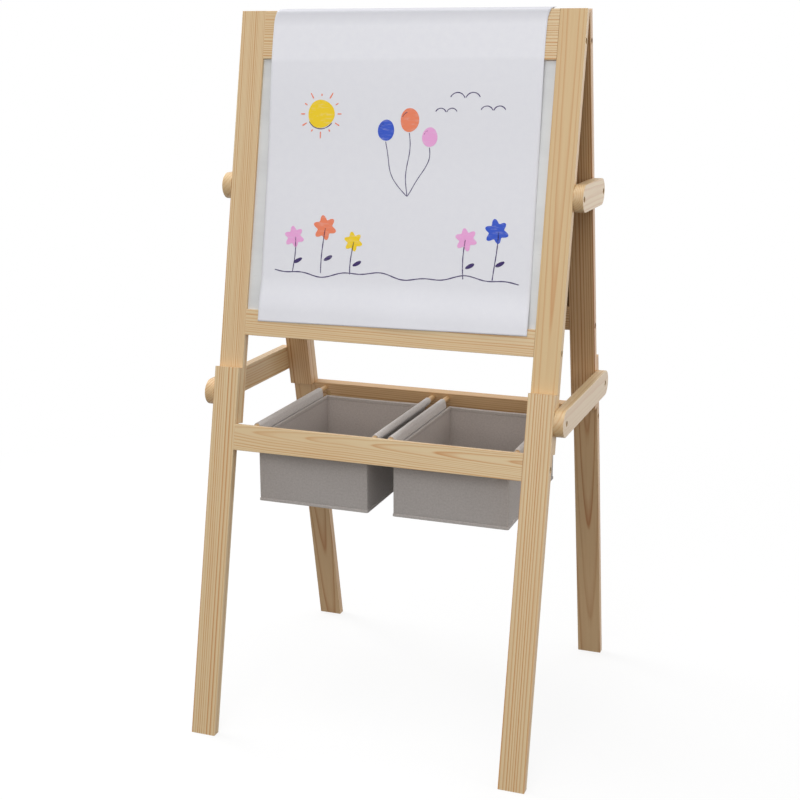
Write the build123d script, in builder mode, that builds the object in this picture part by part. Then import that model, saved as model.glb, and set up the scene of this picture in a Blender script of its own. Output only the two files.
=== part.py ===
"""Children's double-sided easel of pine.

Two leaning frames, one with a white writing board and one with a chalk board, stand on four lapped legs.
Struts with round ends join the halves, two fabric bins slide on rods between the tray rails, and a roll of
paper turns on a rod under the top, with its loose end drawn over the front top rail.

Millimetres. The origin is on the floor under the middle of the easel, +Z is up, and the front faces -Y.
"""
import os
from collections import namedtuple
from math import asin, cos, radians, sin

from build123d import *

os.makedirs("parts", exist_ok=True)

# Driving sizes of the two leaning frames
overall_width = 500.0
tilt = 12.0
top_gap = 2.4
stock_width = 37.0
stock_thickness = 13.0
edge_ease = 0.8
stile_length = 586.5
top_rail_height = 67.0
board_height = 355.0
bottom_rail_height = 37.0

# Boards in their grooves
board_thickness = 3.0
board_recess = 4.5
groove_depth = 6.0
board_play = 0.15

# Legs and tray rails
lap_length = 80.0
leg_length = 534.5
tray_drop = 0.7
tray_rail_height = 37.0

# Struts: how far down the stile their bolts sit, and how far the round end passes the bolt
strut_height = 37.0
strut_thickness = 14.0
upper_strut_down = 247.5
upper_strut_end = 8.0
lower_strut_down = 543.5
lower_strut_end = 20.5

# Bolts, threaded inserts, barrel nuts and wooden pins
bolt_diameter = 5.0
bolt_play = 0.2
head_diameter = 7.6
head_height = 4.0
socket_width = 4.0
socket_depth = 2.4
counterbore_diameter = 8.2
strut_counterbore = 7.0
stile_counterbore = 9.0
insert_diameter = 8.0
insert_length = 12.0
nut_diameter = 9.0
nut_length = 10.0
nut_inset = 22.0
fit_play = 0.1
pin_diameter = 6.0
pin_length = 24.0
lap_pin_diameter = 8.0
lap_pin_length = 18.0
lap_pin_inset = 20.0

# Where bolts and pins meet each rail, measured down from the rail's top edge
top_rail_bolt = 41.0
top_rail_pin = 16.0
bottom_rail_bolt = 30.0
bottom_rail_pin = 14.0
tray_pin_spacing = 22.0

# Bin rods in from the legs and apart at the middle, fabric bins and the boards that stiffen their floors
rod_diameter = 8.0
rod_down = 8.5
rod_seat = 8.0
outer_rod_inset = 18.0
inner_rod_gap = 24.0
flap_reach = 7.5
bin_depth = 250.0
bin_height = 99.0
rim_below_rod = 8.5
bin_wall = 2.0
sleeve_fabric = 1.0
sleeve_play = 0.3
sleeve_seam = 6.0
sleeve_inset = 12.0
base_board_thickness = 2.5
base_board_play = 1.0

# Paper roll with its core and rod, clear of the uprights by a margin, and the sheet drawn over the front
roll_rod_diameter = 16.0
roll_rod_seat = 8.0
running_play = 0.3
core_wall = 1.5
core_overhang = 2.0
roll_diameter = 42.0
paper_margin = 15.0
paper_thickness = 0.4
paper_down = 435.0
paper_crest = 4.0

# Places worked out from the driving sizes
lean = radians(tilt)
clear_width = overall_width - 2 * stock_width
stile_across = (overall_width - stock_width) / 2
rod_spacing = (clear_width - inner_rod_gap) / 2 - outer_rod_inset
bin_pitch = rod_spacing + inner_rod_gap
bin_width = rod_spacing - 2 * flap_reach
sleeve_length = bin_depth - 2 * sleeve_inset
paper_width = clear_width - 2 * paper_margin
board_top = top_rail_height
board_bottom = top_rail_height + board_height
leg_top = stile_length - lap_length
foot_down = leg_top + leg_length
tray_top = stile_length + tray_drop
crown_y = top_gap / 2 + stock_thickness * cos(lean)
crown_z = foot_down * cos(lean) - stock_thickness * sin(lean)
inner_crown_z = crown_z - stock_thickness * sin(lean)
core_bore = roll_rod_diameter + 2 * running_play
core_diameter = core_bore + 2 * core_wall

# Outer face of each frame, and of its legs one thickness further out: x across, y up the slope, z outward
front_face = Plane((0, -crown_y, crown_z), x_dir=(1, 0, 0), z_dir=(0, -cos(lean), sin(lean)))
back_face = Plane((0, crown_y, crown_z), x_dir=(-1, 0, 0), z_dir=(0, cos(lean), sin(lean)))
front_leg_face = front_face.offset(stock_thickness)
back_leg_face = back_face.offset(stock_thickness)


def mid_stile(down):
    """Distance from the middle plane and height of a point inside a stile, half way through its thickness."""
    half = stock_thickness / 2
    return crown_y + down * sin(lean) - half * cos(lean), crown_z - down * cos(lean) - half * sin(lean)


upper_bolt_y, upper_strut_z = mid_stile(upper_strut_down)
lower_bolt_y, lower_strut_z = mid_stile(lower_strut_down)
roll_z = upper_strut_z
rod_z = crown_z - (tray_top + rod_down) * cos(lean)
rod_face_y = crown_y + (tray_top + rod_down) * sin(lean)
bin_rim_z = rod_z - rim_below_rod
bin_floor_z = bin_rim_z - bin_height

# A rail: its height, the distance of its top edge down the slope, and its bolt and pins from that edge
Rail = namedtuple("Rail", "height top bolt pins")
tray_middle = tray_rail_height / 2
tray_pins = (tray_middle - tray_pin_spacing / 2, tray_middle + tray_pin_spacing / 2)
top_rail = Rail(top_rail_height, 0.0, top_rail_bolt, (top_rail_pin,))
bottom_rail = Rail(bottom_rail_height, board_bottom, bottom_rail_bolt, (bottom_rail_pin,))
tray_rail = Rail(tray_rail_height, tray_top, tray_middle, tray_pins)

# The two halves with their faces, and the sign that turns a hand into a side across each face
halves = (("front", front_face, front_leg_face, 1), ("back", back_face, back_leg_face, -1))
hands = (("left", -1), ("right", 1))
jointed_rails = [(face, rail) for name, face, leg_face, turn in halves for rail in (top_rail, bottom_rail)]
jointed_rails += [(leg_face, tray_rail) for name, face, leg_face, turn in halves]
lap_pin_downs = (leg_top + lap_pin_inset, stile_length - lap_pin_inset)
strut_downs = (upper_strut_down, lower_strut_down)
rod_places = [
    (f"{hand}_bin_{where}_rod", side * (bin_pitch / 2 + reach * rod_spacing / 2))
    for hand, side in hands
    for where, reach in (("outer", 1), ("inner", -1))
]


def save(piece, name):
    """Label a finished piece and write it to its own file."""
    piece.part.label = name
    export_step(piece.part, f"parts/{name}.step")


def edge_place(face, side, across, down, outward=1):
    """Plane on an upright edge at a distance across and down the face, looking outward or back inward."""
    origin = face.from_local_coords((side * across, -down, -stock_thickness / 2))
    return Plane(origin, x_dir=face.y_dir, z_dir=face.x_dir * side * outward)


def rear_place(face, across, down):
    """Plane on the rear of a bar of stock, looking away from its outer face."""
    origin = face.from_local_coords((across, -down, -stock_thickness))
    return Plane(origin, x_dir=face.x_dir, z_dir=-face.z_dir)


def ease_long_edges(bar, direction):
    """Round the long edges of a bar of stock."""
    fillet(bar.edges().filter_by(Axis((0, 0, 0), direction)), edge_ease)


def make_stile(face, side):
    """Upright of a frame, with its board groove, rail bolts, pin holes, strut inserts and lap pin holes."""
    with BuildPart() as stile:
        with BuildSketch(face):
            with Locations((side * stile_across, -stile_length / 2)):
                Rectangle(stock_width, stile_length)
        extrude(amount=-stock_thickness)
        ease_long_edges(stile, face.y_dir)
        with BuildSketch(face.offset(board_play - board_recess)):
            with Locations((side * clear_width / 2, -(board_top + board_bottom) / 2)):
                Rectangle(2 * groove_depth, board_height + 2 * groove_depth)
        extrude(amount=-board_thickness - 2 * board_play, mode=Mode.SUBTRACT)
        for rail in (top_rail, bottom_rail):
            with Locations(edge_place(face, side, overall_width / 2, rail.top + rail.bolt)):
                CounterBoreHole(
                    bolt_diameter / 2 + bolt_play, counterbore_diameter / 2, stile_counterbore, stock_width
                )
            with Locations([edge_place(face, side, clear_width / 2, rail.top + pin, -1) for pin in rail.pins]):
                Hole(pin_diameter / 2 + fit_play, pin_length / 2)
        with Locations([edge_place(face, side, overall_width / 2, down) for down in strut_downs]):
            Hole(insert_diameter / 2 + fit_play, insert_length)
        with BuildSketch(face):
            with Locations([(side * stile_across, -down) for down in lap_pin_downs]):
                Circle(lap_pin_diameter / 2 + fit_play)
        extrude(amount=-lap_pin_length / 2, mode=Mode.SUBTRACT)
    return stile


def make_leg(face, side):
    """Leg lapped on the stile and cut level at the floor, with its tray rail bolt, pin holes and lap pin holes."""
    with BuildPart() as leg:
        with BuildSketch(face):
            with Locations((side * stile_across, -leg_top - leg_length / 2)):
                Rectangle(stock_width, leg_length)
        extrude(amount=-stock_thickness)
        ease_long_edges(leg, face.y_dir)
        split(bisect_by=Plane.XY, keep=Keep.TOP)
        with Locations(edge_place(face, side, overall_width / 2, tray_rail.top + tray_rail.bolt)):
            CounterBoreHole(
                bolt_diameter / 2 + bolt_play, counterbore_diameter / 2, stile_counterbore, stock_width
            )
        with Locations([edge_place(face, side, clear_width / 2, tray_top + pin, -1) for pin in tray_rail.pins]):
            Hole(pin_diameter / 2 + fit_play, pin_length / 2)
        with Locations([rear_place(face, side * stile_across, down) for down in lap_pin_downs]):
            Hole(lap_pin_diameter / 2 + fit_play, lap_pin_length / 2)
    return leg


def make_rail(face, rail):
    """Cross rail between two uprights, with bolt and pin holes in its ends and barrel nut holes behind."""
    with BuildPart() as bar:
        with BuildSketch(face):
            with Locations((0, -rail.top - rail.height / 2)):
                Rectangle(clear_width, rail.height)
        extrude(amount=-stock_thickness)
        ease_long_edges(bar, face.x_dir)
        for side in (-1, 1):
            with Locations(edge_place(face, side, clear_width / 2, rail.top + rail.bolt)):
                Hole(bolt_diameter / 2 + bolt_play, nut_inset + nut_diameter)
            with Locations([edge_place(face, side, clear_width / 2, rail.top + pin) for pin in rail.pins]):
                Hole(pin_diameter / 2 + fit_play, pin_length / 2)
            with Locations(rear_place(face, side * (clear_width / 2 - nut_inset), rail.top + rail.bolt)):
                Hole(nut_diameter / 2 + fit_play, (stock_thickness + nut_length) / 2 + fit_play)
    return bar


def groove_rail(bar, face, edge):
    """Cut the board's groove along the edge of a frame rail."""
    with BuildPart() as grooved:
        add(bar.part)
        with BuildSketch(face.offset(board_play - board_recess)):
            with Locations((0, -edge)):
                Rectangle(clear_width, 2 * groove_depth)
        extrude(amount=-board_thickness - 2 * board_play, mode=Mode.SUBTRACT)
    return grooved


def seat_rods(bar, outward):
    """Cut the blind seats of the bin rods into the inner face of a tray rail."""
    mouth = rod_face_y - rod_diameter / 2
    with BuildPart() as seated:
        add(bar.part)
        for name, x in rod_places:
            with Locations(Plane((x, outward * mouth, rod_z), z_dir=(0, -outward, 0))):
                Hole(rod_diameter / 2 + fit_play, rod_face_y + rod_seat - mouth)
    return seated


def make_board(face):
    """Thin board that stands in the grooves on the bottom rail."""
    width = clear_width + 2 * (groove_depth - board_play)
    height = board_height + 2 * (groove_depth - board_play)
    with BuildPart() as board:
        with BuildSketch(face.offset(-board_recess)):
            with Locations((0, -(board_top + board_bottom) / 2 - board_play)):
                Rectangle(width, height)
        extrude(amount=-board_thickness)
    return board


def make_strut(side, bolt_y, height, end):
    """Bar with round ends on the outer side of the easel, with a sunk bolt hole at each end."""
    inner = Plane((side * overall_width / 2, 0, height), x_dir=(0, 1, 0), z_dir=(side, 0, 0))
    with BuildPart() as strut:
        with BuildSketch(inner):
            SlotOverall(2 * (bolt_y + end), strut_height)
        extrude(amount=strut_thickness)
        fillet(strut.faces().filter_by(Axis.X).edges(), edge_ease)
        outer = inner.offset(strut_thickness)
        for reach in (-1, 1):
            with Locations(Plane(outer.from_local_coords((reach * bolt_y, 0, 0)), z_dir=outer.z_dir)):
                CounterBoreHole(
                    bolt_diameter / 2 + bolt_play, counterbore_diameter / 2, strut_counterbore, strut_thickness
                )
    return strut


def make_upper_strut(side):
    """Short strut, with a blind seat for the paper roll's rod in its inner face."""
    plain = make_strut(side, upper_bolt_y, upper_strut_z, upper_strut_end)
    with BuildPart() as strut:
        add(plain.part)
        with Locations(Plane((side * overall_width / 2, 0, roll_z), z_dir=(-side, 0, 0))):
            Hole(roll_rod_diameter / 2 + fit_play, roll_rod_seat)
    return strut


def make_bin(side):
    """Fabric bin, open at the top, with a sleeve for a rod along each long side."""
    middle = side * bin_pitch / 2
    with BuildPart() as bin_body:
        with BuildSketch(Plane.XY.offset(bin_floor_z)):
            with Locations((middle, 0)):
                Rectangle(bin_width, bin_depth)
        extrude(amount=bin_height)
        with BuildSketch(Plane.XY.offset(bin_floor_z + bin_wall)):
            with Locations((middle, 0)):
                Rectangle(bin_width - 2 * bin_wall, bin_depth - 2 * bin_wall)
        extrude(amount=bin_height, mode=Mode.SUBTRACT)
        for reach in (-1, 1):
            rod_x = middle + reach * rod_spacing / 2
            wall_x = middle + reach * bin_width / 2
            with BuildSketch(Plane.XZ):
                with Locations((rod_x, rod_z)):
                    Circle(rod_diameter / 2 + sleeve_play + sleeve_fabric)
                with BuildLine():
                    Line((wall_x, bin_rim_z), (wall_x, bin_rim_z - sleeve_seam))
                make_hull()
            extrude(amount=sleeve_length / 2, both=True)
            with BuildSketch(Plane.XZ):
                with Locations((rod_x, rod_z)):
                    Circle(rod_diameter / 2 + sleeve_play)
            extrude(amount=sleeve_length / 2, both=True, mode=Mode.SUBTRACT)
    return bin_body


def make_base_board(side):
    """Stiff board lying on the bin's floor."""
    with BuildPart() as base:
        with BuildSketch(Plane.XY.offset(bin_floor_z + bin_wall)):
            with Locations((side * bin_pitch / 2, 0)):
                Rectangle(
                    bin_width - 2 * (bin_wall + base_board_play), bin_depth - 2 * (bin_wall + base_board_play)
                )
        extrude(amount=base_board_thickness)
    return base


def make_tube(plane, length, outside, bore=0.0):
    """Round bar or tube, centred on a plane and running both ways from it."""
    with BuildPart() as tube:
        with BuildSketch(plane):
            Circle(outside / 2)
            if bore > 0:
                Circle(bore / 2, mode=Mode.SUBTRACT)
        extrude(amount=length / 2, both=True)
    return tube


def make_sheet():
    """Paper from the front of the roll, up through the gap, over the front top rail and down the face."""
    reach = roll_diameter / 2 + running_play + paper_thickness / 2
    swing = asin(reach / (inner_crown_z - roll_z))
    crest_z = crown_z + paper_crest
    roll_touch = (-reach * cos(swing), roll_z + reach * sin(swing))
    rear_crest = ((crest_z - inner_crown_z) * sin(swing) / cos(swing), crest_z)
    face_y = -crown_y - paper_thickness / 2 * cos(lean)
    face_z = crown_z + paper_thickness / 2 * sin(lean)
    front_crest = (face_y + (crest_z - face_z) * sin(lean) / cos(lean), crest_z)
    lower_edge = (face_y - paper_down * sin(lean), face_z - paper_down * cos(lean))
    with BuildPart() as sheet:
        with BuildSketch(Plane.YZ):
            with BuildLine():
                FilletPolyline(
                    roll_touch, rear_crest, front_crest, lower_edge, radius=paper_crest - paper_thickness / 2
                )
            trace(line_width=paper_thickness)
        extrude(amount=paper_width / 2, both=True)
    return sheet


def make_bolts(seats, length):
    """Bolts with a round socket head: each seat is the plane under a head, looking outward."""
    with BuildPart() as bolts:
        for seat in seats:
            with BuildSketch(seat):
                Circle(head_diameter / 2)
            extrude(amount=head_height)
            with BuildSketch(seat):
                Circle(bolt_diameter / 2)
            extrude(amount=-length)
            with BuildSketch(seat.offset(head_height - socket_depth)):
                RegularPolygon(socket_width / 2, 6, major_radius=False)
            extrude(amount=socket_depth, mode=Mode.SUBTRACT)
    return bolts


def make_rings(seats, length, outside, bore):
    """Threaded inserts sunk below each seat."""
    with BuildPart() as rings:
        for seat in seats:
            with BuildSketch(seat):
                Circle(outside / 2)
                Circle(bore / 2, mode=Mode.SUBTRACT)
            extrude(amount=-length)
    return rings


def make_pins(middles, length, diameter):
    """Wooden pins, each centred on the joint that it crosses."""
    with BuildPart() as pins:
        for middle in middles:
            with BuildSketch(middle):
                Circle(diameter / 2)
            extrude(amount=length / 2 - fit_play, both=True)
    return pins


def make_barrel_nuts():
    """Round nuts lying across the rails, each with a hole for its bolt."""
    with BuildPart() as nuts:
        for face, rail in jointed_rails:
            for side in (-1, 1):
                across = clear_width / 2 - nut_inset
                rear = rear_place(face, side * across, rail.top + rail.bolt)
                with BuildSketch(rear.offset(-stock_thickness / 2)):
                    Circle(nut_diameter / 2)
                extrude(amount=nut_length / 2, both=True)
                with Locations(edge_place(face, side, across + nut_diameter / 2, rail.top + rail.bolt)):
                    Hole(bolt_diameter / 2 + fit_play, nut_diameter)
    return nuts


# Frames, boards and legs
for half, face, leg_face, turn in halves:
    for hand, side in hands:
        save(make_stile(face, side * turn), f"{half}_{hand}_stile")
        save(make_leg(leg_face, side * turn), f"{half}_{hand}_leg")
    save(groove_rail(make_rail(face, top_rail), face, board_top), f"{half}_top_rail")
    save(groove_rail(make_rail(face, bottom_rail), face, board_bottom), f"{half}_bottom_rail")
    save(seat_rods(make_rail(leg_face, tray_rail), -turn), f"{half}_tray_rail")
save(make_board(front_face), "whiteboard_panel")
save(make_board(back_face), "chalkboard_panel")

# Struts, bins and their rods
for hand, side in hands:
    save(make_upper_strut(side), f"{hand}_upper_strut")
    save(make_strut(side, lower_bolt_y, lower_strut_z, lower_strut_end), f"{hand}_lower_strut")
    save(make_bin(side), f"{hand}_bin")
    save(make_base_board(side), f"{hand}_bin_base_board")
for name, x in rod_places:
    rod_length = 2 * (rod_face_y + rod_seat - fit_play)
    save(make_tube(Plane((x, 0, rod_z), z_dir=(0, 1, 0)), rod_length, rod_diameter), name)

# Paper, its roll and what carries the roll
roll_middle = Plane((0, 0, roll_z), z_dir=(1, 0, 0))
save(make_tube(roll_middle, overall_width + 2 * (roll_rod_seat - fit_play), roll_rod_diameter), "paper_roll_rod")
save(make_tube(roll_middle, paper_width + 2 * core_overhang, core_diameter, core_bore), "paper_core_tube")
save(make_tube(roll_middle, paper_width, roll_diameter, core_diameter + 2 * fit_play), "paper_roll")
save(make_sheet(), "paper_sheet")

# Fasteners and pins
strut_edges = [
    edge_place(face, side, overall_width / 2, down)
    for half, face, leg_face, turn in halves
    for side in (-1, 1)
    for down in strut_downs
]
strut_grip = strut_thickness - strut_counterbore
strut_seats = [edge.offset(strut_grip) for edge in strut_edges]
save(make_bolts(strut_seats, strut_grip + insert_length), "strut_bolts")
save(make_rings(strut_edges, insert_length, insert_diameter, bolt_diameter + 2 * fit_play), "threaded_inserts")
rail_seats = [
    edge_place(face, side, overall_width / 2 - stile_counterbore, rail.top + rail.bolt)
    for face, rail in jointed_rails
    for side in (-1, 1)
]
rail_bolt_length = stock_width - stile_counterbore + nut_inset + nut_diameter / 2
save(make_bolts(rail_seats, rail_bolt_length), "rail_bolts")
save(make_barrel_nuts(), "barrel_nuts")
rail_pin_middles = [
    edge_place(face, side, clear_width / 2, rail.top + pin)
    for face, rail in jointed_rails
    for side in (-1, 1)
    for pin in rail.pins
]
save(make_pins(rail_pin_middles, pin_length, pin_diameter), "rail_pins")
lap_middles = [
    Plane(face.from_local_coords((side * stile_across, -down, 0)), x_dir=face.x_dir, z_dir=face.z_dir)
    for half, face, leg_face, turn in halves
    for side in (-1, 1)
    for down in lap_pin_downs
]
save(make_pins(lap_middles, lap_pin_length, lap_pin_diameter), "lap_pins")
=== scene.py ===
# %% [markdown]
# # Dressing a children's easel
#
# The easel is two leaning pine frames joined at the sides by struts. The front holds a white board and a
# sheet of drawing paper, the back holds a chalk board, and two grey fabric bins hang on rods below.
# CAD gives every hard part its size and place, so this lesson only adds what CAD can't: grain, weave, soft
# walls, a sheet of paper that bends over the top, and light. Everything is in metres, in the CAD's frame.

# %% Load the frame
import math

import bmesh
import bpy
import numpy as np
from mathutils import Matrix, Vector


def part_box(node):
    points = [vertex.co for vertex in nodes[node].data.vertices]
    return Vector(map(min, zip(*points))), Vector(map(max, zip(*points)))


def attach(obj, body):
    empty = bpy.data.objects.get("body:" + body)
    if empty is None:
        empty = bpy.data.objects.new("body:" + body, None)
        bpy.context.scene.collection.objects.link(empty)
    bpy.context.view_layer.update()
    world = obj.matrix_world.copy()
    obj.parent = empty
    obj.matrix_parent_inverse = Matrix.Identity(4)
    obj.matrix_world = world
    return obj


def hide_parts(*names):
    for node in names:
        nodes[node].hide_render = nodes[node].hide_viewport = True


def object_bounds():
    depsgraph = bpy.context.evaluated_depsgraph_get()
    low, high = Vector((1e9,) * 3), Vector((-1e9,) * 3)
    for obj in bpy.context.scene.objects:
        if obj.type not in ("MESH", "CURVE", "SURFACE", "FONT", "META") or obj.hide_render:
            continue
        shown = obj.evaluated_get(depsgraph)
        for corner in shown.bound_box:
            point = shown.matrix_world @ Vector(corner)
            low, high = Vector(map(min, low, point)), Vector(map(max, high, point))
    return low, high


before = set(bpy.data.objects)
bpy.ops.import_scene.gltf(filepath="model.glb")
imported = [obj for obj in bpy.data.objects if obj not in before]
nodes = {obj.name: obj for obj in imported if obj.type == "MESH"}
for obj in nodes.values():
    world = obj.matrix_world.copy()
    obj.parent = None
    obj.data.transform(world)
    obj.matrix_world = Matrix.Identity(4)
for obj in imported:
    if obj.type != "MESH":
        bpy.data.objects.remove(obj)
cad_low, cad_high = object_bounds()

# %% [markdown]
# ## The camera
#
# A camera is a place, a direction and a lens. These values were found by matching corners of the frame with
# the same corners in the picture, which is better than turning a camera by eye: once the frame fits, each
# later difference is a difference in the object. The camera stands to the right of the easel, near the
# height of its top, and looks down on it.

# %% Camera at the picture's view
turn_right = math.radians(20.26)
look_down = math.radians(14.43)
camera_place = (0.66943, -1.85743, 0.97056)
sensor = 36.0
focal_pixels = 1384.83
frame_pixels = 800.0

camera_data = bpy.data.cameras.new("camera")
camera_data.sensor_width = sensor
camera_data.lens = focal_pixels * sensor / frame_pixels
camera = bpy.data.objects.new("camera", camera_data)
camera.location = camera_place
forward = Vector((
    -math.sin(turn_right) * math.cos(look_down),
    math.cos(turn_right) * math.cos(look_down),
    -math.sin(look_down),
))
camera.rotation_euler = forward.to_track_quat("-Z", "Y").to_euler()
bpy.context.scene.collection.objects.link(camera)
bpy.context.scene.camera = camera
bpy.context.scene.view_settings.view_transform = "Standard"
print("camera lens", round(camera_data.lens, 2), "mm")

# %% [markdown]
# ## Shader maths as plain expressions
#
# A material is a graph of nodes, and wiring it by hand hides the idea behind it. The class below wraps one
# output socket. Adding or multiplying two of them adds a Math node, so a growth ring can be written as the
# formula it is. Every other node comes from make(), which applies the node's settings first, because some
# settings change which sockets there are, and then fills or links the sockets.

# %% A socket that understands arithmetic
class Wire:
    """One output socket of a node tree. Arithmetic adds Math nodes, and make() adds any other node."""

    def __init__(self, tree, socket=None):
        self.tree = tree
        self.socket = socket

    def make(self, kind, settings, sockets, out=0):
        """Add a node of that kind, with its settings and then its sockets, and return one of its outputs."""
        node = self.tree.nodes.new(kind)
        for key, value in settings.items():
            if key == "stops":
                fill_ramp(node.color_ramp, value)
            else:
                setattr(node, key, value)
        for key, value in sockets.items():
            if isinstance(value, Wire):
                self.tree.links.new(value.socket, node.inputs[key])
            else:
                node.inputs[key].default_value = value
        return Wire(self.tree, node.outputs[out] if node.outputs else None)

    def math(self, operation, *others):
        """A Math node with this value as its first input and the others after it."""
        return self.make("ShaderNodeMath", {"operation": operation}, dict(enumerate((self, *others))))

    def __add__(self, other):
        return self.math("ADD", other)

    def __sub__(self, other):
        return self.math("SUBTRACT", other)

    def __rsub__(self, other):
        return self.make("ShaderNodeMath", {"operation": "SUBTRACT"}, {0: other, 1: self})

    def __mul__(self, other):
        return self.math("MULTIPLY", other)

    def __truediv__(self, other):
        return self.math("DIVIDE", other)

    def __pow__(self, other):
        return self.math("POWER", other)

    __radd__ = __add__
    __rmul__ = __mul__


print("sockets can be added and multiplied")

# %% Ramps and tints
def fill_ramp(ramp, stops):
    """Give a colour ramp these (position, grey value) stops."""
    while len(ramp.elements) < len(stops):
        ramp.elements.new(0.5)
    for element, (position, value) in zip(ramp.elements, stops):
        element.position = position
        element.color = (value, value, value, 1.0)


def tint(code):
    """A colour written as six hexadecimal digits, in the linear values that shaders use."""
    parts = np.array([int(code[i:i + 2], 16) for i in (0, 2, 4)]) / 255.0
    linear = np.where(parts <= 0.04045, parts / 12.92, ((parts + 0.055) / 1.055) ** 2.4)
    return (*linear.tolist(), 1.0)


print("plain white is", tint("FFFFFF"))

# %% [markdown]
# ## Patterns that all finishes share
#
# Most finishes need the same few steps: coordinates, noise stretched along a direction, a mix of two
# colours, and a shader with colour, roughness and a bump. Noise is stretched by scaling its coordinates, so
# one texture gives wood fibre, wiped chalk or paper pulp. Object coordinates are used on hard parts, because
# every object sits at the origin and the pattern then stays fixed in the part like grain in a real board.

# %% Coordinates and noise
def new_material(name):
    """An empty material and a wire to start its nodes from."""
    material = bpy.data.materials.new(name)
    material.use_nodes = True
    material.node_tree.nodes.clear()
    return material, Wire(material.node_tree)


def coordinates(start, kind):
    """Texture coordinates of that kind, Object or UV."""
    return start.make("ShaderNodeTexCoord", {}, {}, kind)


def face_normal(start):
    """The direction that a face looks to."""
    return start.make("ShaderNodeNewGeometry", {}, {}, "Normal")


def axis(vector, letter):
    """One part of a vector: X, Y or Z."""
    return vector.make("ShaderNodeSeparateXYZ", {}, {"Vector": vector}, letter)


def placed(vector, scale=(1, 1, 1), shift=(0, 0, 0), turn=(0, 0, 0)):
    """Coordinates scaled, turned and moved, in that order."""
    return vector.make(
        "ShaderNodeMapping", {}, {"Vector": vector, "Scale": scale, "Location": shift, "Rotation": turn}
    )


def noise(vector, scale, detail, rough, shift=(0, 0, 0)):
    """Smooth noise from 0 to 1, with its own scale along each axis, in repeats per metre."""
    return vector.make(
        "ShaderNodeTexNoise", {},
        {"Vector": placed(vector, scale, shift), "Scale": 1.0, "Detail": detail, "Roughness": rough},
    )


print("coordinates and noise ready")

# %% Colours and shaders
def ramp(value, *stops):
    """A value sent through (position, value) stops."""
    return value.make("ShaderNodeValToRGB", {"stops": stops}, {"Fac": value})


def mixed(factor, first, second):
    """Two colours mixed by a factor. A Mix node has its colours on sockets 6 and 7, and on output 2."""
    return factor.make("ShaderNodeMix", {"data_type": "RGBA"}, {0: factor, 6: first, 7: second}, 2)


def finish_material(start, colour, roughness, height, depth, strength, fixed=None):
    """Close a material with a colour, a roughness, a bump of that depth in metres, and fixed sockets."""
    bump = start.make("ShaderNodeBump", {}, {"Height": height, "Distance": depth, "Strength": strength})
    sockets = {"Base Color": colour, "Roughness": roughness, "Normal": bump, **(fixed or {})}
    shader = start.make("ShaderNodeBsdfPrincipled", {}, sockets)
    start.make("ShaderNodeOutputMaterial", {}, {"Surface": shader})


def dress(material, *names):
    """Give CAD nodes their finish."""
    for name in names:
        nodes[name].data.materials.clear()
        nodes[name].data.materials.append(material)


print("colours and shaders ready")

# %% [markdown]
# ## Floor, world and lamps
#
# The picture is a studio shot on white. A white world seen by the camera gives that background, and a dimmer
# world lights the easel evenly from all round, as big studio walls do. The floor is pale and catches the
# soft shadow under the feet, and further out it fades into the same white, so that no horizon shows. Large
# lamps shape the object: a key lamp from the front, a wide one overhead, one on each side, and one behind on
# the right, whose glancing light makes the sides of the varnished bars pale.

# %% World
ambient = 0.66
full_white = (1, 1, 1, 1)


def light_path(start, ray):
    """1 for rays of that kind, and otherwise 0."""
    return start.make("ShaderNodeLightPath", {}, {}, ray)


def rays_that_see_white(start):
    """1 for rays from the camera and for rays that mirror or pass through something, and otherwise 0."""
    rays = light_path(start, "Is Camera Ray") + light_path(start, "Is Glossy Ray")
    return (rays + light_path(start, "Is Transmission Ray")).math("MINIMUM", 1.0)


def make_world():
    """A world that is full white to look at and dimmer as a light."""
    world = bpy.data.worlds.new("studio")
    bpy.context.scene.world = world
    world.use_nodes = True
    world.node_tree.nodes.clear()
    start = Wire(world.node_tree)
    strength = ambient + (1 - ambient) * rays_that_see_white(start)
    light = start.make("ShaderNodeBackground", {}, {"Color": full_white, "Strength": strength})
    start.make("ShaderNodeOutputWorld", {}, {"Surface": light})


make_world()
print("world lights with", ambient, "of white")

# %% Floor
floor_level = -0.0004
floor_reach = 14.0
fade_start, fade_end = 0.25, 1.6
shadow_share = 0.2
floor_seen, floor_bounce = tint("F4F4F4"), tint("505050")


def floor_material():
    """A diffuse surface that keeps the shadow and fades to plain white away from the easel."""
    material, start = new_material("pale_floor")
    place = coordinates(start, "Object")
    x, y = axis(place, "X"), axis(place, "Y")
    away = ((x * x + y * y) ** 0.5 - fade_start) / (fade_end - fade_start)
    fade = ramp(away, (0.0, 0.0), (1.0, 1.0))
    white_share = rays_that_see_white(start) * (1 - shadow_share * (1 - fade))
    colour = mixed(light_path(start, "Is Camera Ray"), floor_bounce, floor_seen)
    matt = start.make("ShaderNodeBsdfDiffuse", {}, {"Color": colour})
    white = start.make("ShaderNodeEmission", {}, {"Color": full_white, "Strength": 1.0})
    shown = start.make("ShaderNodeMixShader", {}, {0: white_share, 1: matt, 2: white})
    start.make("ShaderNodeOutputMaterial", {}, {"Surface": shown})
    return material


def make_floor():
    """A square just under the feet, far larger than the view."""
    corners = np.array([(-1, -1), (1, -1), (1, 1), (-1, 1)]) * floor_reach
    mesh = bpy.data.meshes.new("floor")
    mesh.from_pydata([(x, y, floor_level) for x, y in corners.tolist()], [], [(0, 1, 2, 3)])
    mesh.materials.append(floor_material())
    floor = bpy.data.objects.new("floor", mesh)
    bpy.context.scene.collection.objects.link(floor)


make_floor()
print("floor fades to white", fade_end, "m from the middle")

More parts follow.
